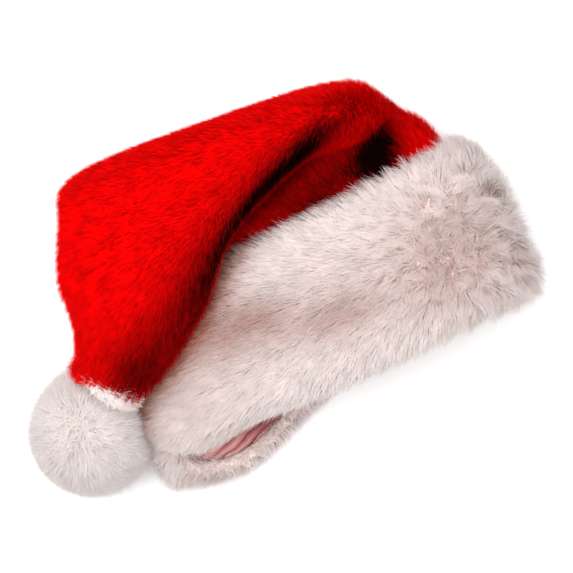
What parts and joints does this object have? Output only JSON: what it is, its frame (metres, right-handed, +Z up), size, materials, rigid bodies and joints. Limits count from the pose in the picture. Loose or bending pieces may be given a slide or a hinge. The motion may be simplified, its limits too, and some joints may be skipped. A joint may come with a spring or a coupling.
{
  "type": "santa hat",
  "caption": "Plush santa hat lying on its back, crown folded to the front, wide white cuff, pompom at the tip and satin lining.",
  "frame": {"origin": "centre of the flat patch on which the cuff rests, on the surface", "axes": "+X along the cuff to its free end, +Y from the rim to the crown, +Z up from the surface"},
  "size_m": [0.3642, 0.2319, 0.1357],
  "materials": {
    "red_plush": "short dense polyester plush, combed towards the tip",
    "white_plush": "deep polyester plush in soft locks",
    "pompom_plush": "deep polyester plush ball",
    "satin_lining": "gathered polyester satin"
  },
  "bodies": {
    "root": {"crown": "red_plush", "cuff": "white_plush", "pompom": "pompom_plush", "lining": "satin_lining"}
  },
  "joints": []
}
